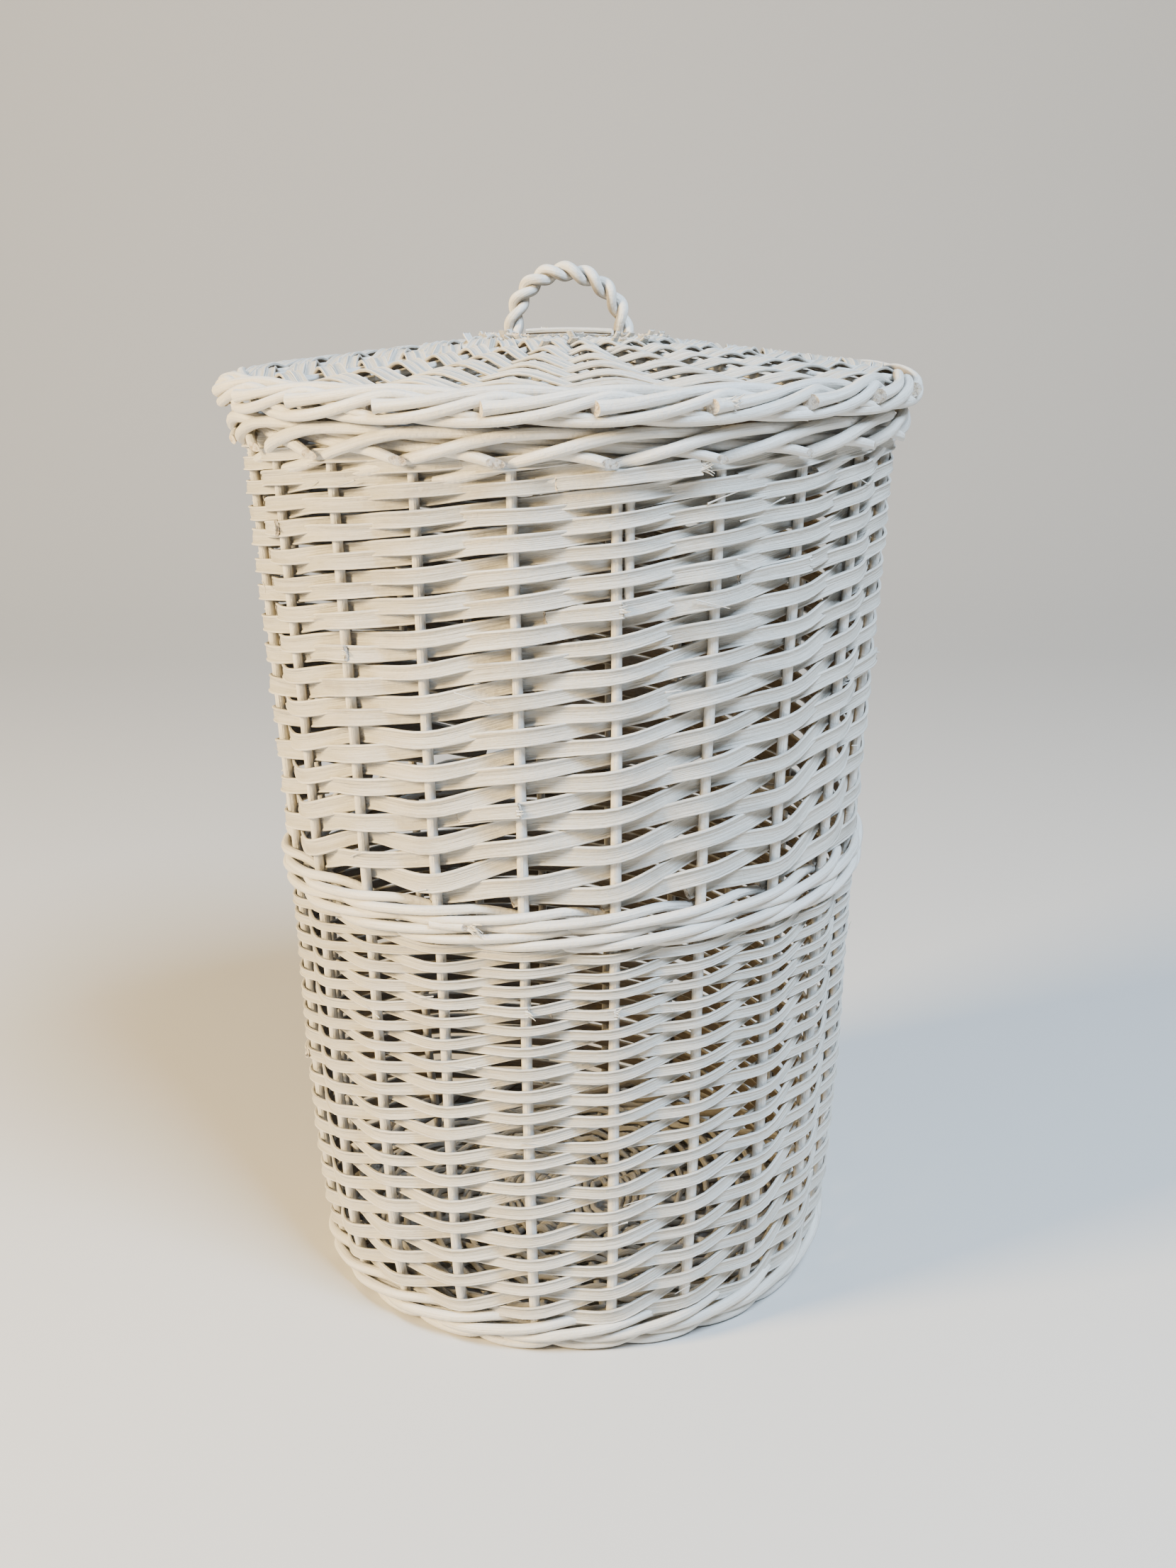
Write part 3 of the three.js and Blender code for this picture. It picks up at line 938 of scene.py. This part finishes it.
class HAMPER_OT_borders(bpy.types.Operator):
    """Makes the rolled borders of the foot, the mouth and the lid"""

    bl_idname = "hamper.borders"
    bl_label = "Borders"

    # A rod's stations: stakes along, mm out from the border's middle circle and mm above the floor.
    FOOT = (
        (-0.5, -5.0, 9.0), (-0.2, -2.0, 5.0), (0.15, 2.5, 3.7), (0.5, 4.0, 3.9), (0.8, 4.2, 5.2),
        (1.05, 2.5, 8.4), (1.35, -1.5, 10.0), (1.7, -5.0, 9.5),
    )
    MOUTH = (
        (-0.8, -5.2, 530.0), (-0.3, -5.0, 536.0), (0.0, -1.5, 541.0), (0.2, 2.8, 544.2), (0.42, 5.0, 547.6),
        (0.72, 5.2, 552.4), (1.06, 4.4, 555.8), (1.5, 2.0, 556.6), (1.9, -2.2, 555.4), (2.3, -5.4, 552.6),
        (2.8, -5.8, 549.2), (3.2, -3.8, 547.2), (3.5, -0.2, 546.2), (3.72, 3.6, 544.4), (3.93, 6.4, 541.6),
    )
    LID_BUTTS = (
        (0.0, 5.4, 569.4), (0.3, 4.8, 571.2), (0.6, 2.6, 573.8), (0.9, -2.0, 576.4), (1.3, -6.5, 577.4),
        (1.8, -10.5, 575.0), (2.2, -13.0, 571.0),
    )
    LID_RISERS = (
        (-1.1, -6.5, 567.0), (-0.7, -4.0, 564.2), (-0.4, -0.4, 562.8), (-0.1, 2.6, 562.4),
        (0.2, 4.2, 563.2), (0.5, 5.0, 565.8), (0.75, 4.8, 569.4), (0.95, 3.0, 572.6),
        (1.15, -0.4, 574.8), (1.4, -4.2, 572.4), (1.8, -8.6, 568.0),
    )
    LID_ENDS = (
        (0.1, -5.0, 573.0), (0.35, -1.6, 570.6), (0.7, 2.0, 567.2), (1.0, 2.4, 563.8), (1.12, 1.8, 562.2),
    )
    # Where the lid's butts lie between two stakes, and which of them is frayed.
    LID_SHIFT, FRAYED_BUTT = -0.215159, -4

    def execute(self, context):
        willow = context.scene.hamper_willow
        rod, _, cut = finishes(context.scene)
        weaving = Weaving("foot_border_rods", seed=41)
        border_rods(weaving, self.FOOT, FOOT_BORDER_R, willow.foot_diameter, steps=22, shift=0.3)
        weaving.piece(BASKET, "painted_rod", (rod, cut), ["foot_border"])

        weaving = Weaving("top_border_rods", seed=42)
        border_rods(
            weaving, self.MOUTH, TOP_BORDER_R, willow.border_diameter, steps=56, cuts=(0, -1.7), sides=12,
            swell=(0.0, -0.26),
        )
        weaving.piece(BASKET, "painted_rod", (rod, cut), ["top_border"])

        weaving = Weaving("lid_border_rods", seed=43)
        thick = willow.lid_border_diameter
        shift = self.LID_SHIFT
        border_rods(
            weaving, self.LID_BUTTS, LID_BORDER_R, thick, steps=28, shift=shift, cuts=(0.5, 0), sides=12,
            swell=(0.34, 0.0),
        )
        border_rods(
            weaving, self.LID_RISERS, LID_BORDER_R, thick, steps=34, shift=shift, cuts=(0, 0), sides=12,
        )
        border_rods(
            weaving, self.LID_ENDS, LID_BORDER_R, thick * 0.8, steps=14, shift=shift, cuts=(0, 0.6),
        )
        along_butt = np.linspace(0, 0.3, 6)
        place = shift + self.FRAYED_BUTT + along_butt
        height = (569.8 + 5 * along_butt) * MM
        points, outward = round_border(place, np.full(6, 7.2 * MM), height, LID_BORDER_R)
        along = unit(np.diff(points, axis=0))[0]
        fray(weaving, points[2], along, outward[2], count=18, long=10 * MM)
        weaving.piece(LID, "painted_rod", (rod, cut), ["lid_border"])
        return {"FINISHED"}


def stick_path(row, level, pitch, reach, height, layer, along_y):
    """Points along a stick of a crossing: parallel in the middle, then fanned out to the stake spacing."""
    straight, fanned = 17 * MM, 44 * MM
    arm = np.linspace(fanned, reach, 14)
    far = np.concatenate([-arm[::-1], np.linspace(-straight, straight, 6), arm])
    fan = row * PITCH
    parallel = np.abs(far) <= straight
    x = np.where(parallel, far, far * math.cos(fan))
    y = np.where(parallel, row * pitch, np.abs(far) * math.sin(fan))
    z = height(np.abs(far)) + np.where(parallel, level * layer, 0)
    if along_y:
        x, y = -y, x
    return np.stack([x, y, z], axis=1)


def crossing(weaving, pitch, reach, height, layer, radius):
    """Eleven sticks, five one way under six the other."""
    for count, level, along_y in ((5, -1, False), (6, 1, True)):
        for k in range(count):
            row = k - (count - 1) / 2
            path = stick_path(row, level, pitch, reach, height, layer, along_y)
            upward = np.broadcast_to(UP, path.shape)
            size = radius * (1 + wander(weaving.rng, np.arange(len(path)), (0.4, 1.1), 0.05))
            weaving.add(path, upward, size, size, round_section(8))


# The lifts of the base's and the lid's weavers, the same over every stick and at every row.
EVEN_LIFTS = ((0.6, 0.0), (0.6, 0.0))


class HAMPER_OT_base(bpy.types.Operator):
    """Makes the woven base: crossed sticks and weaving round them"""

    bl_idname = "hamper.base"
    bl_label = "Base"

    def execute(self, context):
        rod, strip, cut = finishes(context.scene)
        weaving = Weaving("base_sticks", seed=51)
        crossing(
            weaving, pitch=5.2 * MM, reach=154 * MM, height=lambda r: np.full(len(r), BASE_Z),
            layer=2.3 * MM, radius=2.4 * MM,
        )
        weaving.piece(BASKET, "painted_rod", (rod, cut), ["base_slath"])

        weaving = Weaving("base_weaving", seed=52)
        rand_weave(
            weaving, rows=9, height=row_height(first=50 * MM, step=11.4 * MM, shrink=0),
            lifts=EVEN_LIFTS, odd_low=0, drift=0.6 * MM, reach=4.4 * MM,
            half_high=lambda row: np.full(np.shape(row), 2.1 * MM), half_thick=2.1 * MM,
            surface=on_base, section=round_section(8), steps=5,
        )
        pairing(weaving, on_base, 28 * MM, 52 * MM, rounds=5, reach=3.6 * MM, thick=2.2 * MM)
        weaving.piece(BASKET, "painted_strip", (strip, cut), ["base_weave"])
        return {"FINISHED"}


class HAMPER_OT_lid(bpy.types.Operator):
    """Makes the lid's sticks and weaves flat skeins over them in pairs"""

    bl_idname = "hamper.lid"
    bl_label = "Lid"

    def execute(self, context):
        rod, strip, cut = finishes(context.scene)
        weaving = Weaving("lid_sticks", seed=61)
        crossing(
            weaving, pitch=4.8 * MM, reach=198 * MM, height=lid_height, layer=2.15 * MM, radius=2.1 * MM,
        )
        weaving.piece(LID, "painted_rod", (rod, cut), cad_nodes("lid_stick"))

        weaving = Weaving("lid_weaving", seed=62)
        rand_weave(
            weaving, rows=6, height=row_height(first=54 * MM, step=26 * MM, shrink=0),
            lifts=EVEN_LIFTS, odd_low=0, drift=1.2 * MM, reach=4.7 * MM,
            half_high=lambda row: np.interp(row, (-1, 1, 6), (2.3 * MM, 3.1 * MM, 3.4 * MM)),
            half_thick=1.1 * MM, surface=on_lid, section=STRIP, steps=8, slew=(-1, 1),
        )
        pairing(weaving, on_lid, 25 * MM, 49 * MM, rounds=6, reach=2.7 * MM, thick=1.9 * MM)
        skein_tips(weaving, count=54)
        weaving.piece(LID, "painted_strip", (strip, cut), cad_nodes("lid_weave"))
        return {"FINISHED"}


class HAMPER_OT_handle(bpy.types.Operator):
    """Twists the loop handle and lays the flat bar between its feet"""

    bl_idname = "hamper.handle"
    bl_label = "Handle"

    HALF_WIDTH, STRAND_RADIUS, SPRING_Z = 33.4 * MM, 3.15 * MM, 598 * MM
    # The share of a strand in each straight leg, the turns of the twist and its angle at the first foot.
    LEG, TURNS, FIRST_ANGLE = 0.08, 4.3, 0.4
    # Below this height the two strands stand further apart.
    PART_Z = 600 * MM

    def execute(self, context):
        rod, strip, cut = finishes(context.scene)
        low, high = cad_heights("handle_strand")
        half, thick, spring = self.HALF_WIDTH, self.STRAND_RADIUS, self.SPRING_Z
        for side, node in ((-1, "handle_strand_1"), (1, "handle_strand_2")):
            weaving = Weaving(node.replace("strand", "rod"), seed=70 + side)
            t = np.linspace(0, 1, 130)
            over = np.clip((t - self.LEG) / (1 - 2 * self.LEG), 0, 1)
            arc = math.pi * (1 - over)
            down = np.maximum(self.LEG - np.minimum(t, 1 - t), 0) / self.LEG
            rise = high - 2.1 * thick - spring
            lean = 3.0 * MM * np.sin(arc) ** 2
            x = half * np.cos(arc) - lean
            z = spring + rise * np.sin(arc) ** 0.92 - down * (spring - low)
            outward = unit(np.stack([np.cos(arc) / half, np.zeros_like(t), np.sin(arc) / rise], axis=1))
            twist = 2 * math.pi * self.TURNS * over + self.FIRST_ANGLE
            spread = np.clip((self.PART_Z - z) / (5 * MM), 0, 1)
            reach = side * (0.96 * thick + spread * 1.8 * MM)
            points = np.stack([x, np.zeros_like(t), z], axis=1) + outward * (reach * np.sin(twist))[:, None]
            points[:, 1] = reach * np.cos(twist)
            radius = thick * (1 + wander(weaving.rng, t, (13, 41), 0.07))
            weaving.add(points, outward, radius, radius, round_section(14))
            weaving.piece(LID, "painted_rod", (rod, cut), [node])

        for side, node in ((-1, "handle_bar_1"), (1, "handle_bar_2")):
            weaving = Weaving(node.replace("bar", "strip"), seed=75 + side)
            low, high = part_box(node)
            x = np.linspace(low.x, high.x, 16)
            bow = 0.8 * MM * np.cos(x / high.x * math.pi / 2)
            y = np.full(len(x), (low.y + high.y) / 2)
            z = np.full(len(x), (low.z + high.z) / 2) + bow
            path = np.stack([x, y, z], axis=1)
            outward = np.broadcast_to(UP, path.shape)
            weaving.add(path, outward, (high.y - low.y) / 2, (high.z - low.z) / 2, STRIP)
            weaving.piece(LID, "painted_strip", (strip, cut), [node])
        return {"FINISHED"}


class HAMPER_PT_panel(bpy.types.Panel):
    """Lists the hamper's operators and settings"""

    bl_label = "Wicker hamper"
    bl_idname = "HAMPER_PT_panel"
    bl_space_type = "VIEW_3D"
    bl_region_type = "UI"
    bl_category = "Hamper"

    def draw(self, context):
        for operator in OPERATORS:
            self.layout.operator(operator.bl_idname)
        for name in ("hamper_willow", "hamper_paint", "hamper_stage"):
            group = getattr(context.scene, name)
            for key in group.__annotations__:
                self.layout.prop(group, key)


GROUPS = {"hamper_willow": HamperWillow, "hamper_paint": HamperPaint, "hamper_stage": HamperStage}
OPERATORS = (
    HAMPER_OT_stage, HAMPER_OT_stakes, HAMPER_OT_siding, HAMPER_OT_waling, HAMPER_OT_borders,
    HAMPER_OT_base, HAMPER_OT_lid, HAMPER_OT_handle,
)


def register():
    for cls in (*GROUPS.values(), *OPERATORS, HAMPER_PT_panel):
        bpy.utils.register_class(cls)
    for name, group in GROUPS.items():
        setattr(bpy.types.Scene, name, PointerProperty(type=group))


def unregister():
    for name in GROUPS:
        delattr(bpy.types.Scene, name)
    for cls in reversed((*GROUPS.values(), *OPERATORS, HAMPER_PT_panel)):
        bpy.utils.unregister_class(cls)


def main():
    register()
    for operator in OPERATORS:
        group, name = operator.bl_idname.split(".")
        getattr(getattr(bpy.ops, group), name)()


if __name__ == "__main__":
    main()
